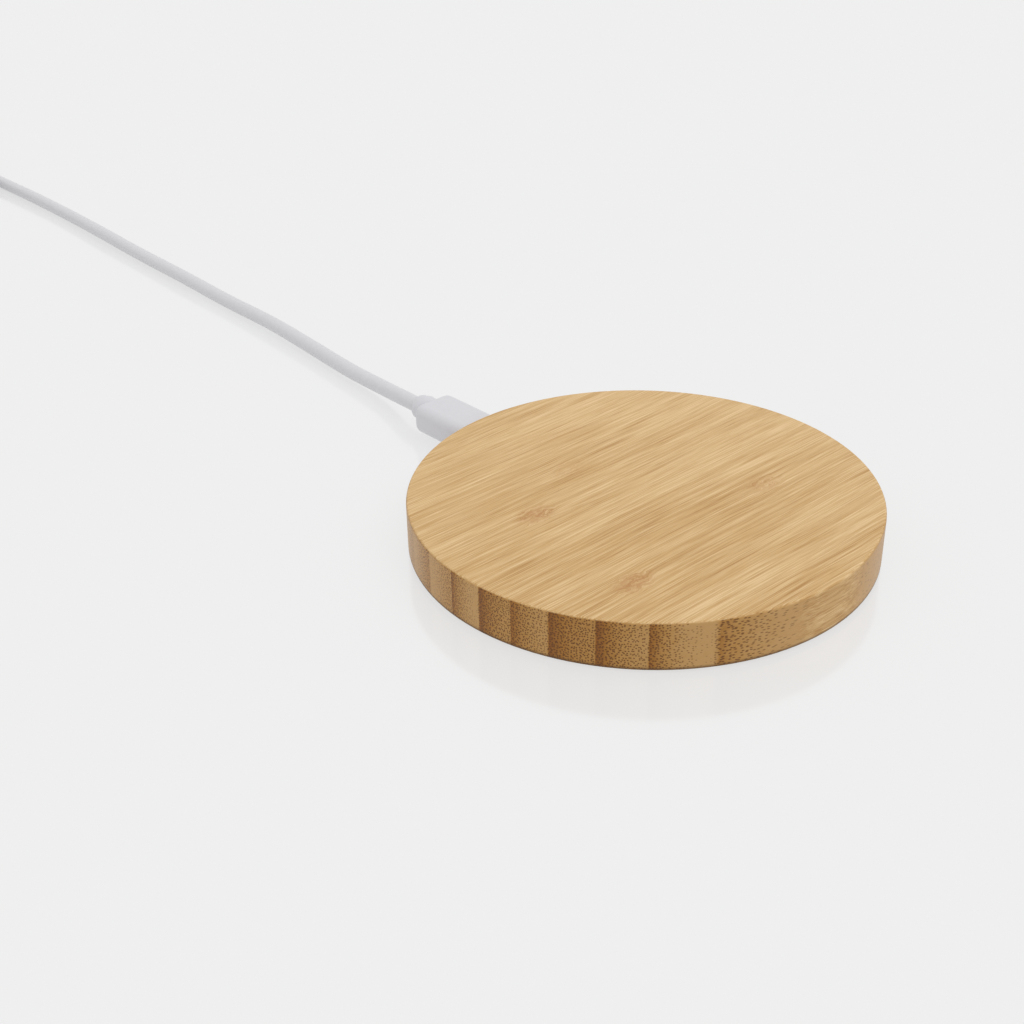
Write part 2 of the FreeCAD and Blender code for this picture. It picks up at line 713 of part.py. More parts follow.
def make_port():
    shell = doc.addObject("PartDesign::Body", "jack_tube")
    along_axis(shell, "jack_outline", "jack_width", "jack_height", "jack_rear", "jack_front")
    hollow(shell, "jack_bore", "jack_width - 2 * jack_wall", "jack_height - 2 * jack_wall",
           "jack_rear", "jack_front")
    tabs = []
    for side, (near, far) in (("right", ("jack_tab_inner", "jack_tab_outer")),
                              ("left", ("0 - jack_tab_outer", "0 - jack_tab_inner"))):
        for end, y in (("rear", "jack_tab_rear"), ("front", "jack_tab_rear + jack_tab_pitch")):
            tabs.append(box(f"jack_tab_{side}_{end}", (near, y, "board_top"),
                            (far, f"{y} + jack_tab_length", "board_top + jack_tab_thickness")))
    keep(fuse("receptacle_shell", [shell] + tabs), "receptacle_shell")

    tongue = new_body("receptacle_tongue")
    along_axis(tongue, "tongue_base", "jack_width - 2 * jack_wall", "jack_height - 2 * jack_wall",
               "jack_rear", "tongue_root")
    blade = sketch_on(tongue, "tongue_blade", "XZ_Plane", "0 - tongue_tip")
    rectangle(blade, "0 - tongue_width / 2", "tongue_width / 2",
              "axis_height - tongue_thickness / 2", "axis_height + tongue_thickness / 2")
    pad(tongue, blade, "tongue_tip - tongue_root + 0.2")
    contact_row("receptacle_contacts", "tongue_root", "tongue_tip - 0.4",
                "tongue_thickness / 2", "(tongue_thickness / 2 + contact_thickness)")


def rounded_bar(name, width, height, corner, rear, front, x, z):
    """A bar of rounded rectangular section along Y, as a body."""
    body = new_body(name)
    outline = sketch_on(body, name + "_outline", "XZ_Plane", f"0 - ({rear})")
    rectangle(outline, f"{x} - ({width}) / 2", f"{x} + ({width}) / 2",
              f"{z} - ({height}) / 2", f"{z} + ({height}) / 2")
    pad(body, outline, f"({rear}) - ({front})")
    fillet(body, name + "_corners", corner,
           lambda edge: abs(edge.tangentAt(edge.FirstParameter).y) > 0.999)
    return body


def at_y(place_y):
    """A test for edges that lie wholly in the plane Y = place_y."""
    return lambda edge: all(abs(vertex.Point.y - place_y) < 1e-4 for vertex in edge.Vertexes)


def make_plug():
    shell = new_body("plug_shell")
    along_axis(shell, "plug_outline", "plug_width", "plug_height", "plug_tip", "grip_front")
    hollow(shell, "plug_bore", "plug_width - 2 * plug_wall", "plug_height - 2 * plug_wall",
           "plug_tip", "grip_front")
    insulator = new_body("plug_insulator")
    along_axis(insulator, "insulator_outline", "plug_width - 2 * plug_wall", "plug_height - 2 * plug_wall",
               "plug_tip + 0.25", "grip_front")
    slot = sketch_on(insulator, "tongue_slot", "XZ_Plane", "0 - plug_tip")
    rectangle(slot, "0 - slot_opening_width / 2", "slot_opening_width / 2",
              "axis_height - slot_opening_height / 2", "axis_height + slot_opening_height / 2")
    pocket(insulator, slot, "slot_end - plug_tip")
    contact_row("plug_contacts", "plug_tip + 0.6", "slot_end - 0.2",
                "(slot_opening_height / 2 - plug_contact_thickness)", "slot_opening_height / 2")
    grip = rounded_bar("plug_overmold", "grip_width", "grip_height", "grip_corner",
                       "grip_rear", "grip_front", "0", "axis_height")
    fillet(grip, "grip_shoulders", "grip_shoulder", at_y(size("grip_rear")))
    collar = [rod("collar_wide", "collar_diameter / 2", "grip_rear", "collar_step", "0", "axis_height", "y"),
              rod("collar_slim", "collar_end_diameter / 2", "collar_step", "collar_rear", "0",
                  "axis_height", "y")]
    keep(fuse("plug_collar", collar), "plug_collar")


# ---------------------------------------------------------------- cord and far plug
def make_cord():
    diameter = size("cord_diameter")
    plain("supply_cord", tube(rounded_wire(CORD_ROUTE, "supply cord"), diameter, "supply cord"))
    plain("cord_tail", tube(rounded_wire(TAIL_ROUTE, "cord tail"), diameter, "cord tail"))


def make_cord_coil():
    """The outer shape of the stored turns, and the strap that holds them."""
    body = new_body("cord_coil")
    outline = sketch_on(body, "coil_outline", "XY_Plane", "coil_low")
    circle(outline, "outer", "2 * coil_outer_turn + cord_diameter", "coil_x", "coil_y")
    circle(outline, "inner", "2 * coil_inner_turn - cord_diameter", "coil_x", "coil_y")
    pad(body, outline, "coil_layers * cord_diameter")
    fillet(body, "coil_edges", "cord_diameter * 0.45",
           lambda edge: isinstance(edge.Curve, Part.Circle))
    inner = ("coil_x - tie_width / 2", "coil_y + coil_inner_turn - cord_diameter / 2 - 0.5", "coil_low")
    outer = ("coil_x + tie_width / 2", "coil_y + coil_outer_turn + cord_diameter / 2 + 0.05",
             "coil_low + coil_layers * cord_diameter + 0.05")
    space = box("tie_space", inner, outer)
    band = box("tie_band", (inner[0], inner[1] + " - tie_thickness", "coil_low - tie_thickness"),
               (outer[0], outer[1] + " + tie_thickness", outer[2] + " + tie_thickness"))
    keep(cut("cord_tie", band, space), "cord_tie")


def make_far_plug():
    relief = doc.addObject("Part::Cone", "host_strain_relief")
    bind(relief, "Radius1", "relief_diameter / 2")
    bind(relief, "Radius2", "relief_end_diameter / 2")
    bind(relief, "Height", "relief_rear - relief_front")
    relief.Placement = FreeCAD.Placement(V(), FreeCAD.Rotation(V(1, 0, 0), -90))
    place(relief, "far_x", "relief_front", "far_height")
    keep(relief, "host_strain_relief")
    grip = rounded_bar("host_overmold", "far_grip_width", "far_grip_height", "far_grip_corner",
                       "relief_front", "far_grip_front", "far_x", "far_height")
    fillet(grip, "far_grip_ends", "far_grip_corner * 0.5", at_y(size("relief_front")))
    outside = box("far_shell_outside",
                  ("far_x - far_shell_width / 2", "far_shell_tip", "far_height - far_shell_height / 2"),
                  ("far_x + far_shell_width / 2", "far_grip_front", "far_height + far_shell_height / 2"))
    room_low = ("far_x - far_shell_width / 2 + far_shell_wall", "far_shell_tip",
                "far_height - far_shell_height / 2 + far_shell_wall")
    room_high = ("far_x + far_shell_width / 2 - far_shell_wall", "far_grip_front",
                 "far_height + far_shell_height / 2 - far_shell_wall")
    keep(cut("host_shell", outside, box("far_shell_room", room_low, room_high)), "host_shell")
    block = box("host_insulator", (room_low[0], "far_shell_tip + far_insulator_inset", room_low[2]),
                (room_high[0], "far_grip_front", "far_height"))
    keep(block, "host_insulator")
    strips = [box(f"host_contact_{i}",
                  (f"far_x + {x} - far_contact_width / 2", "far_shell_tip + far_contact_inset",
                   "far_height"),
                  (f"far_x + {x} + far_contact_width / 2", "far_grip_front - far_contact_end",
                   "far_height + far_contact_thickness"))
              for i, x in enumerate(FAR_CONTACT_PLACES)]
    keep(group("host_contacts", strips), "host_contacts")


def write_parts():
    """Checks every object, then writes one STEP file per piece."""
    doc.recompute()
    for item in doc.Objects:
        if "Invalid" in item.State or "Error" in item.State:
            raise RuntimeError(f"{item.Name} failed: {item.State}")
    os.makedirs("parts", exist_ok=True)
    for item in nodes:
        shape = item.Shape
        if shape.isNull() or not shape.isValid() or not shape.Solids:
            raise RuntimeError(f"{item.Label} has no valid solid")
        shape.exportStep(f"parts/{item.Label}.step")
        extent = shape.BoundBox
        print(f"{item.Label}: {len(shape.Solids)} solid(s), volume {shape.Volume:.1f}, "
              f"z {extent.ZMin:.2f} to {extent.ZMax:.2f}")


make_bamboo_body()
make_base_cover()
make_foot()
make_screws()
make_carrier()
make_ferrite()
make_transmit_coil()
make_thermistor()
make_board()
make_components()
make_light_pipe()
make_port()
make_plug()
make_cord()
make_cord_coil()
make_far_plug()
write_parts()
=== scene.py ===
"""Looks of the round bamboo charging pad and its cord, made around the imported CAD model, in metres.

The pad stands on the floor with its USB port towards +Y and its grain along X.
"""
import json
import math

import bmesh
import bpy
from mathutils import Euler, Matrix, Vector


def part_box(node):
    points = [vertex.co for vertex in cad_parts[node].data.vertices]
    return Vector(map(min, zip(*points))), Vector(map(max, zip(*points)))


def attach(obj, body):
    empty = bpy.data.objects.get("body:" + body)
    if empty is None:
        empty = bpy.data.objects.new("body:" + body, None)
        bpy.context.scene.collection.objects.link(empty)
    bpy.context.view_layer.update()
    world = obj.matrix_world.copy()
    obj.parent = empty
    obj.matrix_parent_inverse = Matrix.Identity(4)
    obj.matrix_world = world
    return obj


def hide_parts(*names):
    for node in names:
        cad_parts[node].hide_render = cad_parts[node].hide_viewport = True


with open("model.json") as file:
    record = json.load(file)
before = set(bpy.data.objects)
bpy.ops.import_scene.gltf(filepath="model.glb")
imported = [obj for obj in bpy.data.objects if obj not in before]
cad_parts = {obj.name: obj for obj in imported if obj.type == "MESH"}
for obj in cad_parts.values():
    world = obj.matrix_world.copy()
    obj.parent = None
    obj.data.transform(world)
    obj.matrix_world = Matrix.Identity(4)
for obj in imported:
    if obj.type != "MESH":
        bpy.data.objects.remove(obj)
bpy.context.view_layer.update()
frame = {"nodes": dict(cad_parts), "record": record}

MM = 0.001
CORD_SET = "cord_set"

# ---------------------------------------------------------------- camera, light and floor
VIEW_DISTANCE = 289.9 * MM
VIEW_ELEVATION = 30.51
VIEW_AZIMUTH = -47.7
AIM_YAW = 4.989
AIM_PITCH = 0.662
AIM_ROLL = 1.922
LENS = 52.73
SENSOR = 36.0
PALE = 0.863            # radiance of the floor and of the room around it
SUN = 0.75
SUN_SPREAD = math.radians(50)
SUN_HEADING = math.radians(222)
SUN_TILT = math.radians(24)
FLOOR_ALBEDO = 0.11
FLOOR_GLOSS = 1.68      # index of refraction of its clear top coat
FLOOR_HAZE = 0.13       # roughness of that coat


def make_camera():
    """Looks down on the pad from its front left, with the cord leaving at the upper left."""
    data = bpy.data.cameras.new("camera")
    data.lens = LENS
    data.sensor_width = SENSOR
    data.clip_start = 0.01
    camera = bpy.data.objects.new("camera", data)
    facing = Euler((math.radians(90 - VIEW_ELEVATION), 0, math.radians(VIEW_AZIMUTH))).to_matrix()
    aim = (Matrix.Rotation(math.radians(AIM_YAW), 3, "Y")
           @ Matrix.Rotation(math.radians(AIM_PITCH), 3, "X")
           @ Matrix.Rotation(math.radians(AIM_ROLL), 3, "Z"))
    target = Vector((0, 0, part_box("bamboo_body")[0].z))
    spot = target + facing @ Vector((0, 0, VIEW_DISTANCE))
    camera.matrix_world = Matrix.Translation(spot) @ (facing @ aim).to_4x4()
    bpy.context.scene.collection.objects.link(camera)
    bpy.context.scene.camera = camera


def make_light():
    """An even pale room, and a wide soft light from above that leaves the sides darker than the tops."""
    world = bpy.data.worlds.new("room")
    world.use_nodes = True
    world.node_tree.nodes["Background"].inputs["Color"].default_value = (PALE, PALE, PALE, 1)
    world.node_tree.nodes["Background"].inputs["Strength"].default_value = 1.0
    bpy.context.scene.world = world
    bpy.context.scene.view_settings.view_transform = "Standard"
    data = bpy.data.lights.new("softbox", "SUN")
    data.energy = SUN
    data.angle = SUN_SPREAD
    lamp = bpy.data.objects.new("softbox", data)
    lamp.rotation_euler = Euler((-SUN_TILT, 0, SUN_HEADING))
    lamp.visible_glossy = False
    bpy.context.scene.collection.objects.link(lamp)


# ---------------------------------------------------------------- shader maths
class Value:
    """A socket of a material; sums on it add Math nodes."""

    def __init__(self, recipe, socket):
        self.recipe = recipe
        self.socket = socket

    def __add__(self, other):
        return self.recipe.math("ADD", self, other)

    def __radd__(self, other):
        return self.recipe.math("ADD", other, self)

    def __sub__(self, other):
        return self.recipe.math("SUBTRACT", self, other)

    def __rsub__(self, other):
        return self.recipe.math("SUBTRACT", other, self)

    def __mul__(self, other):
        return self.recipe.math("MULTIPLY", self, other)

    def __rmul__(self, other):
        return self.recipe.math("MULTIPLY", other, self)

    def __truediv__(self, other):
        return self.recipe.math("DIVIDE", self, other)

    def __pow__(self, other):
        return self.recipe.math("POWER", self, other)


class Recipe:
    """One material, built from nodes."""

    def __init__(self, name, **uniform):
        """The values in uniform are the same all over the surface."""
        self.material = bpy.data.materials.new(name)
        self.material.use_nodes = True
        self.tree = self.material.node_tree
        self.shader = self.tree.nodes["Principled BSDF"]
        for label, value in uniform.items():
            self.shader.inputs[label.replace("_", " ")].default_value = value

    def node(self, kind, settings, inputs):
        """Adds a node: its settings first, then the values or links of its sockets."""
        made = self.tree.nodes.new("ShaderNode" + kind)
        for name, setting in settings.items():
            if name == "stops":
                lay_stops(made.color_ramp, setting)
            else:
                setattr(made, name, setting)
        for key, value in inputs.items():
            if isinstance(value, Value):
                self.tree.links.new(value.socket, made.inputs[key])
            else:
                made.inputs[key].default_value = value
        return made

    def math(self, operation, *terms):
        made = self.node("Math", {"operation": operation}, dict(enumerate(terms)))
        return Value(self, made.outputs[0])

    def place(self):
        """Object coordinates in millimetres."""
        coordinates = self.node("TexCoord", {}, {})
        return self.scaled(Value(self, coordinates.outputs["Object"]), 1 / MM)

    def normal(self):
        """The surface's own direction, in object axes."""
        coordinates = self.node("TexCoord", {}, {})
        return Value(self, coordinates.outputs["Normal"])

    def scaled(self, vector, factor):
        stretch = (factor,) * 3 if isinstance(factor, (int, float)) else factor
        made = self.node("VectorMath", {"operation": "MULTIPLY"}, {0: vector, 1: stretch})
        return Value(self, made.outputs[0])

    def split(self, vector):
        """The three parts of a vector."""
        made = self.node("SeparateXYZ", {}, {0: vector})
        return [Value(self, socket) for socket in made.outputs]

    def joined(self, x, y, z):
        return Value(self, self.node("CombineXYZ", {}, {0: x, 1: y, 2: z}).outputs[0])

    def noise(self, vector, scale, detail=2.0, rough=0.5):
        made = self.node("TexNoise", {}, {"Vector": vector, "Scale": scale, "Detail": detail,
                                          "Roughness": rough})
        return Value(self, made.outputs["Fac"])

    def cells(self, vector, scale, jitter=1.0):
        """In the first two axes: how near the nearest cell's middle is, and its own random number."""
        made = self.node("TexVoronoi", {"voronoi_dimensions": "2D"},
                         {"Vector": vector, "Scale": scale, "Randomness": jitter})
        chance = self.node("SeparateColor", {}, {0: Value(self, made.outputs["Color"])})
        return Value(self, made.outputs["Distance"]), Value(self, chance.outputs[0])

    def step(self, value, low, high, start=0.0, end=1.0):
        """Rises smoothly from start to end as the value goes from low to high."""
        made = self.node("MapRange", {"interpolation_type": "SMOOTHSTEP"},
                         {0: value, 1: low, 2: high, 3: start, 4: end})
        return Value(self, made.outputs[0])

    def mix(self, factor, first, second):
        """Between two colours."""
        made = self.node("Mix", {"data_type": "RGBA"}, {0: factor, 6: rgba(first), 7: rgba(second)})
        return Value(self, made.outputs[2])

    def ramp(self, value, stops):
        return Value(self, self.node("ValToRGB", {"stops": stops}, {0: value}).outputs[0])

    def bump(self, height, distance, strength=1.0):
        inputs = {"Height": height, "Distance": distance, "Strength": strength}
        return Value(self, self.node("Bump", {}, inputs).outputs[0])

    def finish(self, **links):
        for label, value in links.items():
            self.tree.links.new(value.socket, self.shader.inputs[label.replace("_", " ")])
        return self.material


def lay_stops(ramp, stops):
    while len(ramp.elements) > 1:
        ramp.elements.remove(ramp.elements[-1])
    for i, (position, colour) in enumerate(stops):
        element = ramp.elements[0] if i == 0 else ramp.elements.new(position)
        element.position = position
        element.color = rgba(colour)


def rgba(colour):
    return colour if isinstance(colour, Value) or len(colour) == 4 else (*colour, 1.0)


# ---------------------------------------------------------------- bamboo
# Each strip of the laminate: its +Y edge in mm, then how crowded its fibre bundles are at that
# edge and at its other edge.
STRIPS = (
    (46.5, 0.30, 0.60),
    (40.8, 0.85, 0.30),
    (33.7, 0.25, 0.60),
    (26.5, 0.20, 0.60),
    (19.3, 0.12, 0.85),
    (11.2, 0.10, 0.70),
    (3.8, 1.05, 0.10),
    (-3.6, 1.10, 0.70),
    (-10.2, 1.05, 0.50),
    (-17.3, 1.10, 0.80),
    (-24.5, 1.15, 0.50),
    (-31.4, 1.05, 0.0),
    (-38.5, 0.90, 0.0),
)
STRIPS_END = -46.5
# Where a strip had a node of the cane: x and y in mm, and how strongly it shows.
KNOTS = ((-21.0, 7.5, 1.0), (-25.0, -21.0, 1.0), (18.5, -14.0, 0.6), (-4.0, 16.0, 0.35))
KNOT_LENGTH = 6.0
KNOT_WIDTH = 3.8
PAINTED_LIGHT_PALING = 0.45        # painted light: how much less crowded the bundles are made at the strips' +X ends, so that side looks lit
# Colours from pale to dark, of the long grain and of the cut ends, then of the marks on them, then of the
# painted shade along the foot edge.
LONG_GRAIN = ((0.00, (0.733, 0.523, 0.279)), (0.38, (0.623, 0.411, 0.189)),
              (0.65, (0.538, 0.329, 0.133)), (1.00, (0.419, 0.224, 0.074)))
CUT_GRAIN = ((0.00, (0.482, 0.280, 0.102)), (0.40, (0.416, 0.213, 0.054)),
             (0.75, (0.318, 0.134, 0.018)), (1.00, (0.232, 0.083, 0.008)))
THREAD_COLOUR = (0.384, 0.201, 0.068)
GLEAM_COLOUR = (0.780, 0.576, 0.328)
KNOT_COLOUR = (0.435, 0.209, 0.075)
DOT_COLOUR = (0.120, 0.040, 0.005)
# painted shade: the dark brown that stands for the contact shadow along the pad's lower edge
PAINTED_FOOT_SHADE_COLOUR = (0.089, 0.042, 0.013)


def strip_stops():
    """Ramp stops across the laminate: crowding at both edges of the strip, and the way across it."""
    span = STRIPS[0][0] - STRIPS_END
    hair = 0.04
    stops = []
    for i, (edge, first, last) in enumerate(STRIPS):
        far = STRIPS[i + 1][0] if i + 1 < len(STRIPS) else STRIPS_END
        stops.append(((far + hair - STRIPS_END) / span, (first, last, 1.0)))
        stops.append(((edge - hair - STRIPS_END) / span, (first, last, 0.0)))
    return sorted(stops)


def knots_shown(r, x, y):
    """1 in the middle of a knot, falling to 0 at its edge."""
    shown = 0.0
    for knot_x, knot_y, strength in KNOTS:
        along = (x - knot_x) / KNOT_LENGTH
        aside = (y - knot_y) / KNOT_WIDTH
        reach = r.math("SQRT", along * along + aside * aside)
        shown = r.step(reach, 0.2, 1.0, strength, 0.0) + shown
    return shown


def strip_looks(r, x, y):
    """How crowded the fibre bundles are, thinned towards +X as painted light, and the strip's dark rind
    and its glue seam.
    """
    strips = r.ramp((y - STRIPS_END) / (STRIPS[0][0] - STRIPS_END), strip_stops())
    first, last, way = [Value(r, socket) for socket in r.node("SeparateColor", {}, {0: strips}).outputs]
    # Painted light: the crowding is cut towards +X, which pales the grain and thins the bundle ends there
    # as if lit from that side.
    crowding = first + (last - first) * way ** 0.8 - r.step(x, 6.0, 22.0) * PAINTED_LIGHT_PALING
    rind = (1.0 - way) ** 3 * first
    seam = r.step(way, 0.0, 0.035, 1.0, 0.0)
    return crowding, rind, seam


def bundle_dots(r, y_grain, z, crowding):
    """The cut ends of the fibre bundles, more and larger where they are crowded."""
    distance, chance = r.cells(r.joined(y_grain * 1.08, z, 0.0), 2.15, 0.85)
    present = r.step(crowding * 1.4 + 0.30 - chance, -0.05, 0.05) * r.step(crowding, -0.3, 0.9, 0.35, 1.0)
    size = crowding * 0.15 + 0.16
    return r.step(distance - size, -0.09, 0.11, 1.0, 0.0) * present


def bamboo():
    """Vertically laminated bamboo: long streaks along the grain, dotted bundle ends across it."""
    r = Recipe("laminated_bamboo", Specular_IOR_Level=0.22, Coat_Roughness=0.35, Coat_IOR=1.25)
    place = r.place()
    x, y, z = r.split(place)
    along_grain, _, up = r.split(r.normal())
    rim = 1.0 - r.math("ABSOLUTE", up)
    end_grain = r.step(r.math("ABSOLUTE", along_grain), 0.05, 0.26) * r.step(rim, 0.15, 0.60)

    knot = knots_shown(r, x, y)
    swirl = r.noise(r.scaled(place, (0.40, 0.55, 0.55)), 1.0, 2.0)
    drift = r.noise(r.scaled(place, (0.02, 0.05, 0.05)), 1.0, 1.0)
    y_grain = y + knot * (swirl - 0.5) * 6.5 + drift * 2.0
    crowding, rind, seam = strip_looks(r, x, y)
    dots = bundle_dots(r, y_grain, z, crowding)

    fine = r.noise(r.joined(x * 0.07, y_grain * 4.8, z * 4.8), 1.0, 4.0, 0.62)
    middling = r.noise(r.joined(x * 0.03, y_grain * 1.1, z * 0.8), 1.0, 3.0, 0.55)
    broad = r.noise(r.joined(x * 0.018, y_grain * 0.16, z * 0.16), 1.0, 2.0, 0.5)
    thread = r.step(r.noise(r.joined(x * 0.045, y_grain * 6.5, z * 6.5), 1.0, 2.0, 0.5), 0.56, 0.74)
    gleam = r.step(r.noise(r.joined(x * 0.035 + 60.0, y_grain * 5.5, z * 5.5), 1.0, 2.0, 0.5), 0.58, 0.76)

    # rim * 0.25 is painted shade: the long grain darker on the upright sides and over the rounded top edge
    # than on the top.
    tone = fine * 2.6 + middling * 1.1 + broad * 0.65 + crowding * 0.20 + rim * 0.25 - 1.84
    long_grain = r.mix(thread * 0.55, r.ramp(tone, LONG_GRAIN), THREAD_COLOUR)
    long_grain = r.mix(gleam * 0.6 + seam * 0.35, long_grain, GLEAM_COLOUR)
    blotch = r.noise(r.scaled(place, (0.5, 1.6, 1.6)), 1.0, 3.0, 0.6)
    long_grain = r.mix(knot * r.step(blotch, 0.25, 0.65) * 0.7, long_grain, KNOT_COLOUR)

    ground = r.noise(r.joined(x * 0.05, y * 1.3, z * 1.3), 1.0, 3.0, 0.6)
    cut_tone = crowding * crowding * 0.70 + rind * 0.28 + ground * 0.5 + seam * 0.5 - 0.28
    cut_grain = r.mix(dots * 0.92, r.ramp(cut_tone, CUT_GRAIN), DOT_COLOUR)
    colour = r.mix(end_grain, long_grain, cut_grain)
    # Painted shade: the sides darkened below 1.45 mm, fully below 0.8 mm, standing in for the contact
    # shadow under the pad.
    colour = r.mix(r.step(z, 0.80, 1.45, 0.75, 0.0), colour, PAINTED_FOOT_SHADE_COLOUR)

    height = fine * 0.4 + thread * -0.3 + dots * end_grain * -0.9
    rough = 0.44 + fine * 0.14 + end_grain * 0.12
    return r.finish(Base_Color=colour, Roughness=rough, Coat_Weight=end_grain * 0.7,
                    Normal=r.bump(height, 0.00003, 0.6))


# ---------------------------------------------------------------- other materials
def speckled(name, colour, darker, grain, bump=0.00001, **uniform):
    """Moulded or sintered stuff: a fine skin and a slight change of tone."""
    r = Recipe(name, **uniform)
    place = r.place()
    tone = r.noise(place, grain * 0.1, 3.0, 0.6)
    skin = r.noise(place, grain, 2.0, 0.6)
    rough = skin * 0.16 + (uniform["Roughness"] - 0.08)
    return r.finish(Base_Color=r.mix(r.step(tone, 0.3, 0.7), colour, darker), Roughness=rough,
                    Normal=r.bump(skin, bump))


def metal(name, colour, worn, rough):
    """Plated or rolled metal with fine lines along X and faint dulling."""
    r = Recipe(name, Metallic=1.0)
    place = r.place()
    lines = r.noise(r.scaled(place, (0.3, 6.0, 6.0)), 2.0, 3.0, 0.6)
    dull = r.noise(place, 0.5, 3.0, 0.6)
    return r.finish(Base_Color=r.mix(r.step(dull, 0.45, 0.8), colour, worn),
                    Roughness=lines * 0.12 + dull * 0.12 + (rough - 0.12), Normal=r.bump(lines, 0.000004))


def woven():
    """Narrow woven tape, whose warp and weft repeat twice in a millimetre."""
    r = Recipe("tie_fabric", Roughness=0.85)
    x, y, z = r.split(r.place())
    thread = 2 * math.pi / 0.45
    warp = r.math("SINE", x * thread)
    weft = r.math("SINE", (y + z) * thread)
    over = warp * weft
    height = r.math("ABSOLUTE", warp) * 0.5 + r.math("ABSOLUTE", weft) * 0.5 + over * 0.3
    return r.finish(Base_Color=r.mix(r.step(over, -0.8, 0.8), (0.50, 0.50, 0.51), (0.36, 0.36, 0.37)),
                    Normal=r.bump(height, 0.00008))


def litz():
    """Bundled enamelled copper strands."""
    r = Recipe("litz_copper", Metallic=1.0)
    place = r.place()
    strand = r.noise(r.scaled(place, (1.0, 1.0, 3.0)), 5.0, 2.0, 0.6)
    return r.finish(Base_Color=r.mix(strand, (0.40, 0.14, 0.06), (0.80, 0.42, 0.22)),
                    Roughness=strand * 0.2 + 0.25, Normal=r.bump(strand, 0.00005))


def solder_resist():
    """Green resist over copper: faint traces under it."""
    r = Recipe("solder_resist", Roughness=0.3)
    place = r.place()
    distance, chance = r.cells(place, 0.35, 0.6)
    trace = r.step(distance, 0.30, 0.36)
    return r.finish(Base_Color=r.mix(trace, (0.012, 0.10, 0.045), (0.022, 0.16, 0.075)),
                    Normal=r.bump(trace * chance, 0.00002))


MATERIALS = {
    "bamboo": bamboo(),
    "cover_plastic": speckled("cover_plastic", (0.72, 0.72, 0.71), (0.68, 0.68, 0.67), 9.0,
                              Roughness=0.55),
    "foot_silicone": speckled("foot_silicone", (0.24, 0.24, 0.245), (0.20, 0.20, 0.205), 7.0,
                              Roughness=0.7),
    "adhesive_film": speckled("adhesive_film", (0.62, 0.56, 0.42), (0.56, 0.50, 0.37), 5.0,
                              Roughness=0.4),
    "screw_steel": metal("screw_steel", (0.55, 0.55, 0.57), (0.42, 0.42, 0.43), 0.35),
    "copper_litz": litz(),
    "ferrite": speckled("ferrite", (0.030, 0.030, 0.033), (0.045, 0.045, 0.048), 6.0, Roughness=0.5),
    "carrier_plastic": speckled("carrier_plastic", (0.02, 0.02, 0.022), (0.03, 0.03, 0.032), 8.0,
                                Roughness=0.5),
    "board_resist": solder_resist(),
    "chip_epoxy": speckled("chip_epoxy", (0.018, 0.018, 0.02), (0.03, 0.03, 0.032), 12.0, Roughness=0.55),
    "chip_ceramic": speckled("chip_ceramic", (0.38, 0.24, 0.13), (0.32, 0.19, 0.10), 10.0, Roughness=0.4),
    "thermal_gel": speckled("thermal_gel", (0.20, 0.25, 0.36), (0.16, 0.20, 0.30), 5.0, Roughness=0.6),
    "plug_steel": metal("plug_steel", (0.74, 0.73, 0.71), (0.69, 0.68, 0.66), 0.22),
    "contact_gold": metal("contact_gold", (0.90, 0.66, 0.28), (0.78, 0.55, 0.22), 0.2),
    "insulator_black": speckled("insulator_black", (0.016, 0.016, 0.018), (0.024, 0.024, 0.026), 9.0,
                                Roughness=0.4),
    "insulator_white": speckled("insulator_white", (0.74, 0.74, 0.73), (0.70, 0.70, 0.69), 9.0,
                                Roughness=0.4),
    "light_guide": speckled("light_guide", (0.72, 0.75, 0.78), (0.66, 0.70, 0.74), 6.0, Roughness=0.3,
                            Transmission_Weight=0.35),
    "plug_white": speckled("plug_white", (0.632, 0.628, 0.655), (0.617, 0.613, 0.640), 11.0,
                           bump=0.000006, Roughness=0.42),
    "cord_white": speckled("cord_white", (0.628, 0.624, 0.645), (0.610, 0.606, 0.627), 10.0,
                           bump=0.000006, Roughness=0.40),
    "tie_fabric": woven(),
}

# ---------------------------------------------------------------- cord
CORD_POINTS_MM = [
    (0.0, 67.2, 4.6),
    (0.0, 71.8, 4.6),
    (1.2, 77.5, 3.7),
    (2.3, 83.5, 2.9),
    (2.9, 90.0, 2.5),
    (3.4, 98.0, 2.3),
    (5.4, 117.0, 2.2),
    (6.9, 135.0, 2.3),
    (7.6, 156.0, 1.8),
    (8.4, 178.0, 2.2),
    (9.5, 204.0, 1.9),
    (10.7, 229.0, 2.2),
    (12.3, 256.0, 1.8),
    (12.5, 276.5, 1.9),
    (12.3, 297.0, 1.9),
    (11.9, 314.6, 2.15),
]
TAIL_POINTS_MM = [
    (-43.2, 308.0, 5.4),
    (-41.8, 302.0, 4.9),
    (-39.0, 296.2, 4.3),
    (-37.2, 290.0, 4.0),
    (-37.2, 284.5, 4.0),
]
TAIL_DROP_MM = 0.25      # how far the cord's tail starts below the middle of the CAD tail's start
TURNS_IN_BOTTOM_LAYER = 5
POINTS_PER_TURN = 20
CROSSING = 50.0          # degrees in which one turn moves over to the next


def smooth(share):
    share = min(max(share, 0.0), 1.0)
    return share * share * (3 - 2 * share)


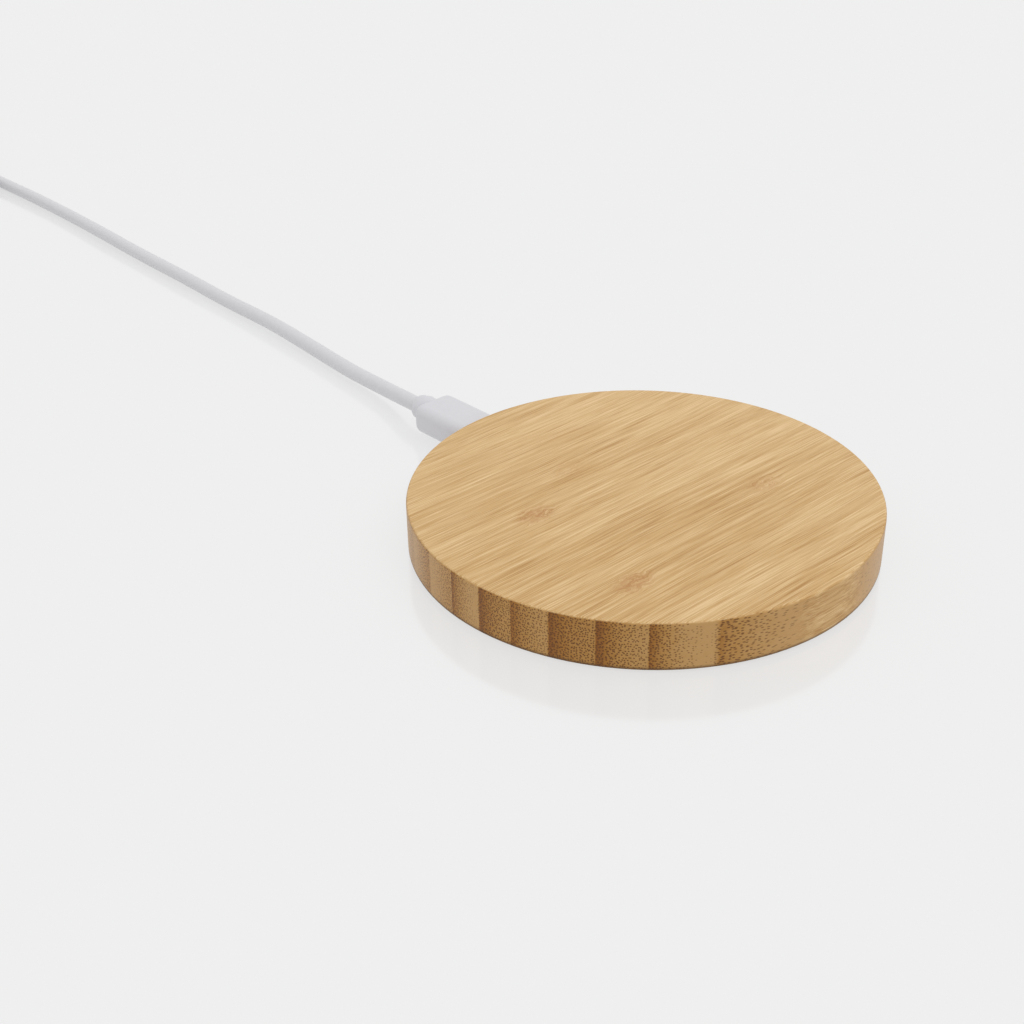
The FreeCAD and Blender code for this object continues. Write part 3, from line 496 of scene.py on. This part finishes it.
def coil_points():
    """Two layers of neat turns: inwards on the floor, then outwards on top of them."""
    low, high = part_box("cord_coil")
    middle = (low + high) / 2
    thick = (high.z - low.z) / 2
    outer = (high.x - low.x - thick) / 2
    inner = outer - (TURNS_IN_BOTTOM_LAYER - 1) * thick
    start = math.atan2(CORD_POINTS_MM[-1][1] * MM - middle.y, CORD_POINTS_MM[-1][0] * MM - middle.x)

    def turn_radius(turn):
        if turn < TURNS_IN_BOTTOM_LAYER:
            return outer - turn * thick
        return min(inner + (turn - TURNS_IN_BOTTOM_LAYER) * thick, outer)

    whole = 2 * TURNS_IN_BOTTOM_LAYER - 1
    total = whole * 360.0 + 180.0 - math.degrees(start)
    climb_start = TURNS_IN_BOTTOM_LAYER * 360.0 - 2.2 * CROSSING
    count = round(total / 360.0 * POINTS_PER_TURN)
    points = []
    for i in range(1, count + 1):
        angle = total * i / count
        turn, rest = divmod(angle, 360.0)
        over = smooth((rest - 360.0 + CROSSING) / CROSSING)
        radius = turn_radius(turn) * (1 - over) + turn_radius(turn + 1) * over
        rise = smooth((angle - climb_start) / CROSSING)
        heading = start + math.radians(angle)
        points.append((middle.x + radius * math.cos(heading), middle.y + radius * math.sin(heading),
                       low.z + thick / 2 + rise * thick))
    return points


def make_cord():
    """One spline from the plug's collar along the floor, round the stored turns and to the far plug."""
    diameter = 2 * (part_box("cord_tail")[1].z - TAIL_POINTS_MM[0][2] * MM - TAIL_DROP_MM * MM)
    points = [Vector(point) * MM for point in CORD_POINTS_MM]
    points += [Vector(point) for point in coil_points()]
    points += [Vector(point) * MM for point in TAIL_POINTS_MM]
    data = bpy.data.curves.new("cord", "CURVE")
    data.dimensions = "3D"
    data.resolution_u = 6
    data.bevel_depth = diameter / 2
    data.bevel_resolution = 6
    data.use_fill_caps = True
    spline = data.splines.new("NURBS")
    spline.points.add(len(points) - 1)
    for spot, point in zip(spline.points, points):
        spot.co = (*point, 1.0)
    spline.order_u = 3
    spline.use_endpoint_u = True
    data.materials.append(MATERIALS["cord_white"])
    cord = bpy.data.objects.new("cord", data)
    bpy.context.scene.collection.objects.link(cord)
    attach(cord, CORD_SET)
    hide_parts("supply_cord", "cord_coil", "cord_tail")
    return cord, diameter


# ---------------------------------------------------------------- meshes
TOUCHING = 0.001 * MM


def piece_from(bm, name, body, slot, crease=35.0):
    """Turns a finished bmesh into a piece of the object."""
    mesh = bpy.data.meshes.new(name)
    bm.to_mesh(mesh)
    bm.free()
    mesh.shade_smooth()
    mesh.set_sharp_from_angle(angle=math.radians(crease))
    mesh.materials.append(MATERIALS[slot])
    piece = bpy.data.objects.new(name, mesh)
    bpy.context.scene.collection.objects.link(piece)
    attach(piece, body)
    return piece


def block(low, high):
    """A bmesh box between two corners."""
    bm = bmesh.new()
    bmesh.ops.create_cube(bm, size=1.0)
    bmesh.ops.scale(bm, vec=high - low, verts=bm.verts)
    bmesh.ops.translate(bm, vec=(low + high) / 2, verts=bm.verts)
    return bm


def bevel(bm, edges, width, segments):
    bmesh.ops.bevel(bm, geom=edges, offset=width, offset_type="OFFSET", affect="EDGES",
                    segments=segments, profile=0.5, material=-1, clamp_overlap=True)


def edges_along(bm, axis):
    return [edge for edge in bm.edges
            if abs((edge.verts[0].co - edge.verts[1].co).normalized()[axis]) > 0.999]


def edges_at(bm, axis, place):
    return [edge for edge in bm.edges if all(abs(vert.co[axis] - place) < TOUCHING for vert in edge.verts)]


def turned(profile, low_y, axis_x, axis_z, steps=48):
    """Spins a profile of (distance along Y, radius) pairs round an axis along Y."""
    bm = bmesh.new()
    verts = [bm.verts.new((axis_x + radius, low_y + along, axis_z)) for along, radius in profile]
    edges = [bm.edges.new(pair) for pair in zip(verts, verts[1:])]
    bmesh.ops.spin(bm, geom=verts + edges, cent=(axis_x, 0, axis_z), axis=(0, 1, 0),
                   angle=2 * math.pi, steps=steps, use_merge=True)
    bmesh.ops.remove_doubles(bm, verts=bm.verts, dist=1e-7)
    bmesh.ops.recalc_face_normals(bm, faces=bm.faces)
    return bm


GRIP_LONG_EDGE = 2.1 * MM
GRIP_SHOULDER = 1.7 * MM
GRIP_FRONT_EDGE = 0.3 * MM


def make_plug_grip():
    """The near plug's moulded grip: flat top, rounded long edges and a sloping shoulder at the back."""
    low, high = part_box("plug_overmold")
    bm = block(low, high)
    bevel(bm, edges_along(bm, 1), GRIP_LONG_EDGE, 10)
    bevel(bm, edges_at(bm, 1, high.y), GRIP_SHOULDER, 8)
    bevel(bm, edges_at(bm, 1, low.y), GRIP_FRONT_EDGE, 3)
    piece = piece_from(bm, "plug_grip", CORD_SET, "plug_white", 50)
    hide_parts("plug_overmold")
    return piece


def make_plug_neck():
    """The round neck behind the grip, which starts inside it, widens a little and has one step."""
    low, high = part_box("plug_collar")
    axis = (low + high) / 2
    length = (high.y - low.y) / MM
    profile = [(-2.4, 0.0), (-2.4, 2.8), (-1.2, 2.9), (0.2, 2.9), (length - 2.4, 3.05),
               (length - 2.0, 3.0), (length - 1.8, 2.75), (length - 0.6, 2.7), (length - 0.25, 2.55),
               (length - 0.05, 2.25), (length, 1.9), (length, 0.0)]
    bm = turned([(along * MM, radius * MM) for along, radius in profile], low.y, axis.x, axis.z)
    piece = piece_from(bm, "plug_neck", CORD_SET, "plug_white", 40)
    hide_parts("plug_collar")
    return piece


def make_tie():
    """A strap wrapped round the stored turns."""
    low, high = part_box("cord_tie")
    thick = 0.4 * MM
    inner_bend = 1.2 * MM
    bm = block(low + Vector((0, thick, thick)), high - Vector((0, thick, thick)))
    ends = [face for face in bm.faces if abs(face.normal.x) > 0.9]
    bmesh.ops.delete(bm, geom=ends, context="FACES")
    bevel(bm, edges_along(bm, 0), inner_bend, 6)
    bmesh.ops.recalc_face_normals(bm, faces=bm.faces)
    bmesh.ops.solidify(bm, geom=bm.faces[:], thickness=-thick)
    bmesh.ops.recalc_face_normals(bm, faces=bm.faces)
    piece = piece_from(bm, "cord_strap", CORD_SET, "tie_fabric")
    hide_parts("cord_tie")
    return piece


def make_far_grip():
    """The far plug's grip: a soft-edged block, rounder at the cord's end."""
    low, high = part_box("host_overmold")
    bm = block(low, high)
    back_corner = 3.6 * MM
    front_corner = 1.2 * MM
    soft_edge = 1.5 * MM
    uprights = edges_along(bm, 2)
    bevel(bm, [edge for edge in uprights if edge.verts[0].co.y > (low.y + high.y) / 2], back_corner, 8)
    uprights = edges_along(bm, 2)
    bevel(bm, [edge for edge in uprights if abs(edge.verts[0].co.y - low.y) < TOUCHING], front_corner, 5)
    bevel(bm, edges_at(bm, 2, high.z) + edges_at(bm, 2, low.z), soft_edge, 6)
    piece = piece_from(bm, "far_plug_grip", CORD_SET, "plug_white", 50)
    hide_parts("host_overmold")
    return piece


def make_far_relief():
    """A ribbed, tapered sleeve behind the far plug."""
    low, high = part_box("host_strain_relief")
    axis = (low + high) / 2
    length = high.y - low.y
    wide = (high.x - low.x) / 2
    slim = 2.3 * MM
    ribs = 4
    profile = [(-0.8 * MM, 0.0), (-0.8 * MM, wide)]
    for rib in range(ribs):
        start = length * rib / ribs
        radius = wide + (slim - wide) * rib / (ribs - 1)
        groove = radius - 0.45 * MM
        profile += [(start, radius - 0.1 * MM), (start + 0.2 * MM, radius), (start + 1.0 * MM, radius),
                    (start + 1.15 * MM, radius - 0.12 * MM), (start + 1.3 * MM, groove),
                    (start + 1.6 * MM, groove)]
    profile = [pair for pair in profile if pair[0] < length - 0.02 * MM]
    profile += [(length, slim - 0.35 * MM), (length, 0.0)]
    bm = turned(profile, low.y, axis.x, axis.z, 40)
    piece = piece_from(bm, "far_plug_relief", CORD_SET, "plug_white", 40)
    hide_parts("host_strain_relief")
    return piece


def make_far_shell():
    """The folded steel shell of the far plug, with its four square windows."""
    low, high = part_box("host_shell")
    wall = 0.3 * MM
    bm = block(low, high)
    open_ends = [face for face in bm.faces if abs(face.normal.y) > 0.9]
    bmesh.ops.delete(bm, geom=open_ends, context="FACES")
    middle = (low.x + high.x) / 2
    window_near = 1.4 * MM
    window_far = 3.8 * MM
    window_low = high.y - 6.6 * MM
    window_high = window_low + 2.4 * MM
    cuts = [(0, middle + side * reach) for side in (-1, 1) for reach in (window_near, window_far)]
    cuts += [(1, window_low), (1, window_high)]
    for axis, place in cuts:
        point = Vector((0, 0, 0))
        point[axis] = place
        normal = Vector((0, 0, 0))
        normal[axis] = 1
        everything = bm.verts[:] + bm.edges[:] + bm.faces[:]
        bmesh.ops.bisect_plane(bm, geom=everything, plane_co=point, plane_no=normal)
    windows = []
    for face in bm.faces:
        spot = face.calc_center_median()
        aside = abs(spot.x - middle)
        if window_near < aside < window_far and window_low < spot.y < window_high:
            windows.append(face)
    bmesh.ops.delete(bm, geom=windows, context="FACES")
    corner = 0.5 * MM
    bevel(bm, [edge for edge in edges_along(bm, 1)
               if abs(abs(edge.verts[0].co.x - middle) - (high.x - low.x) / 2) < TOUCHING], corner, 4)
    bmesh.ops.recalc_face_normals(bm, faces=bm.faces)
    bmesh.ops.solidify(bm, geom=bm.faces[:], thickness=wall)
    bmesh.ops.recalc_face_normals(bm, faces=bm.faces)
    piece = piece_from(bm, "far_plug_shell", CORD_SET, "plug_steel")
    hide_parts("host_shell")
    return piece


def finish_cad_nodes():
    """Gives every CAD piece that stays the material of its own slot."""
    slots = {row["node"]: row["material_slot"] for row in frame["record"]["subparts"]}
    for name, node in frame["nodes"].items():
        node.data.materials.clear()
        node.data.materials.append(MATERIALS[slots[name]])


def make_floor():
    """A pale, slightly glossy table top that holds a faint reflection."""
    bm = bmesh.new()
    bmesh.ops.create_grid(bm, x_segments=1, y_segments=1, size=20.0)
    mesh = bpy.data.meshes.new("floor")
    bm.to_mesh(mesh)
    bm.free()
    sunlit = PALE + SUN / math.pi * math.cos(SUN_TILT)
    r = Recipe("floor", Roughness=1.0, Specular_IOR_Level=0.0, Emission_Color=(1, 1, 1, 1),
               Base_Color=(FLOOR_ALBEDO, FLOOR_ALBEDO, FLOOR_ALBEDO, 1),
               Emission_Strength=PALE - FLOOR_ALBEDO * sunlit)
    sheen = r.node("BsdfGlossy", {}, {"Color": (1, 1, 1, 1), "Roughness": FLOOR_HAZE})
    facing = r.node("Fresnel", {}, {"IOR": FLOOR_GLOSS})
    blend = r.node("MixShader", {}, {0: Value(r, facing.outputs[0]), 1: Value(r, r.shader.outputs[0]),
                                     2: Value(r, sheen.outputs[0])})
    r.tree.links.new(blend.outputs[0], r.tree.nodes["Material Output"].inputs["Surface"])
    mesh.materials.append(r.material)
    floor = bpy.data.objects.new("floor", mesh)
    bpy.context.scene.collection.objects.link(floor)


make_camera()
make_light()
cord, cord_diameter = make_cord()
finish_cad_nodes()
on_cord = [make_plug_grip(), make_plug_neck(), make_tie()]
on_cord += [make_far_grip(), make_far_relief(), make_far_shell()]
on_cord += [frame["nodes"][name] for name in ("plug_shell", "plug_insulator", "plug_contacts",
                                              "host_insulator", "host_contacts")]
make_floor()
